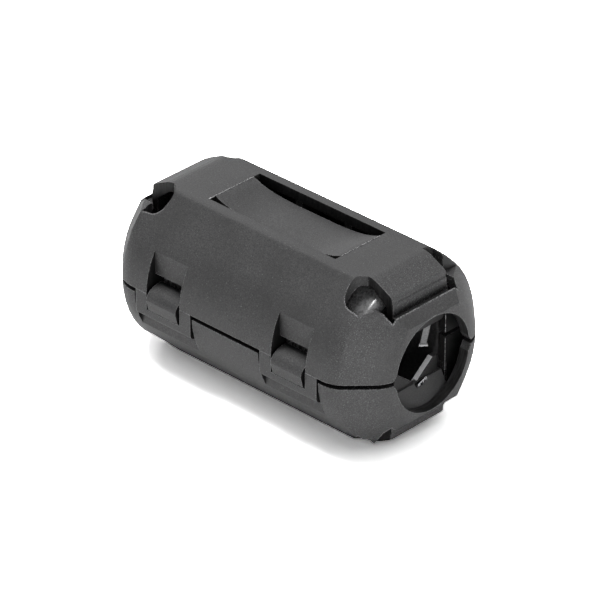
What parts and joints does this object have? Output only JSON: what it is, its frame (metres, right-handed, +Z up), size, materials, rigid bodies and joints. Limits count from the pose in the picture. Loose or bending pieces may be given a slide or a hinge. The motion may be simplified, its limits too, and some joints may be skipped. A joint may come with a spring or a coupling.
{
  "type": "clip on ferrite bead",
  "caption": "Clip on ferrite bead: two half ring ferrite cores in a hinged plastic case that closes round a cable to damp high frequency noise.",
  "frame": {"origin": "on the cable axis at the middle of the closed bead, which is also the centre of its bounding box", "axes": "+X along the cable, -Y towards the latches, +Y towards the film hinge, +Z up through the upper half, with the parting plane at Z = 0"},
  "size_m": [0.035, 0.02, 0.0176],
  "materials": {
    "case": "fine spark-eroded grain, matte",
    "ferrite": "tumbled and lacquered, semi gloss"
  },
  "bodies": {
    "base": {"lower_shell": "case", "lower_core": "ferrite", "lower_grips": "case", "film_hinge": "case"},
    "lid": {"upper_shell": "case", "upper_core": "ferrite", "upper_grips": "case", "latch_loops": "case"}
  },
  "joints": [
    {"name": "lid_hinge", "type": "hinge", "parent": "base", "child": "lid", "pos_m": [0, 0.00994, 0], "axis": [-1, 0, 0], "range_deg": [0, 180], "deforming": ["latch_loops", "film_hinge"]}
  ]
}
